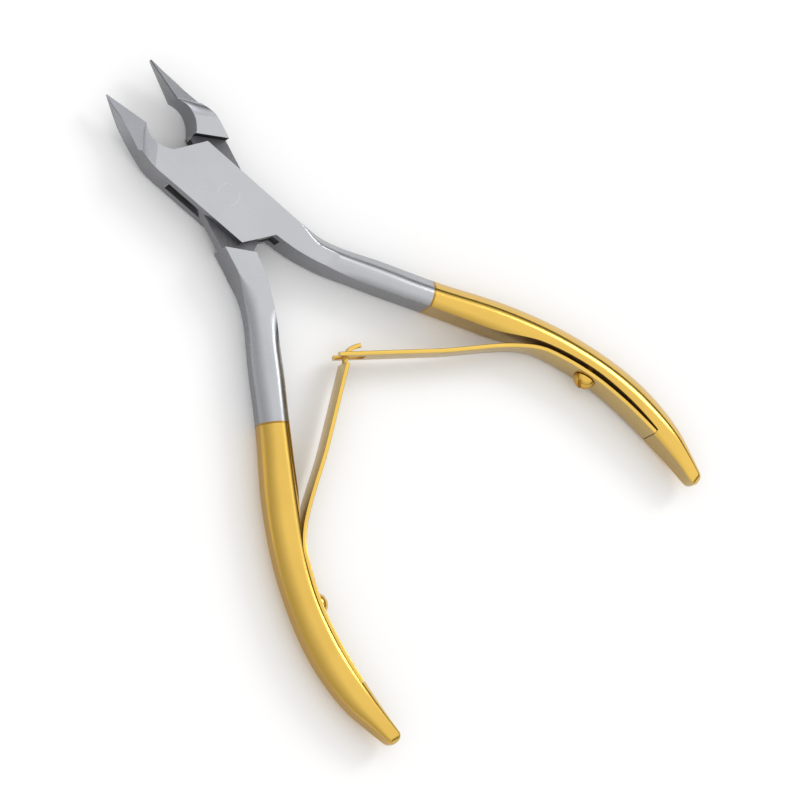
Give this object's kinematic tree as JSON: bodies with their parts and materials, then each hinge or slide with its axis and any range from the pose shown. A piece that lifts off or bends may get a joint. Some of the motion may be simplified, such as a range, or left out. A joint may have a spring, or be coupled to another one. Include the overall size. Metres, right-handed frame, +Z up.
{
  "type": "cuticle nipper",
  "caption": "Box-joint cuticle nipper with curved jaws, bowed handles and two hooked leaf springs, lying open.",
  "frame": {"origin": "on the pivot axis, at the level of the surface that the nipper lies on", "axes": "+Z up along the pivot axis; +Y along the centre line towards the jaws; +X towards the box lever's handle"},
  "size_m": [0.0658, 0.0951, 0.006],
  "materials": {
    "steel": "satin polished",
    "gold": "polished gold plate"
  },
  "bodies": {
    "box_half": {"box_lever": "steel", "pivot_pin": "steel", "right_spring_root": "gold", "right_spring_screw": "gold"},
    "tongue_half": {"tongue_lever": "steel", "left_spring_root": "gold", "left_spring_screw": "gold"},
    "right_spring": {"right_spring_blade": "gold"},
    "left_spring": {"left_spring_blade": "gold"}
  },
  "joints": [
    {"name": "pivot", "type": "hinge", "parent": "box_half", "child": "tongue_half", "pos_m": [0, 0, 0.003], "axis": [0, 0, 1], "range_deg": [0, 22], "stiffness_Nm_per_rad": 0.8},
    {"name": "right_spring_flex", "type": "hinge", "parent": "box_half", "child": "right_spring", "pos_m": [0.02428, -0.0456, 0.003], "axis": [0, 0, 1], "range_deg": [-12.7, 0]},
    {"name": "left_spring_flex", "type": "hinge", "parent": "tongue_half", "child": "left_spring", "pos_m": [-0.02428, -0.0456, 0.003], "axis": [0, 0, 1], "range_deg": [0, 12.7]}
  ],
  "couplings": [
    {"joint": "right_spring_flex", "follows": "pivot", "ratio": -0.575},
    {"joint": "left_spring_flex", "follows": "pivot", "ratio": 0.575}
  ]
}
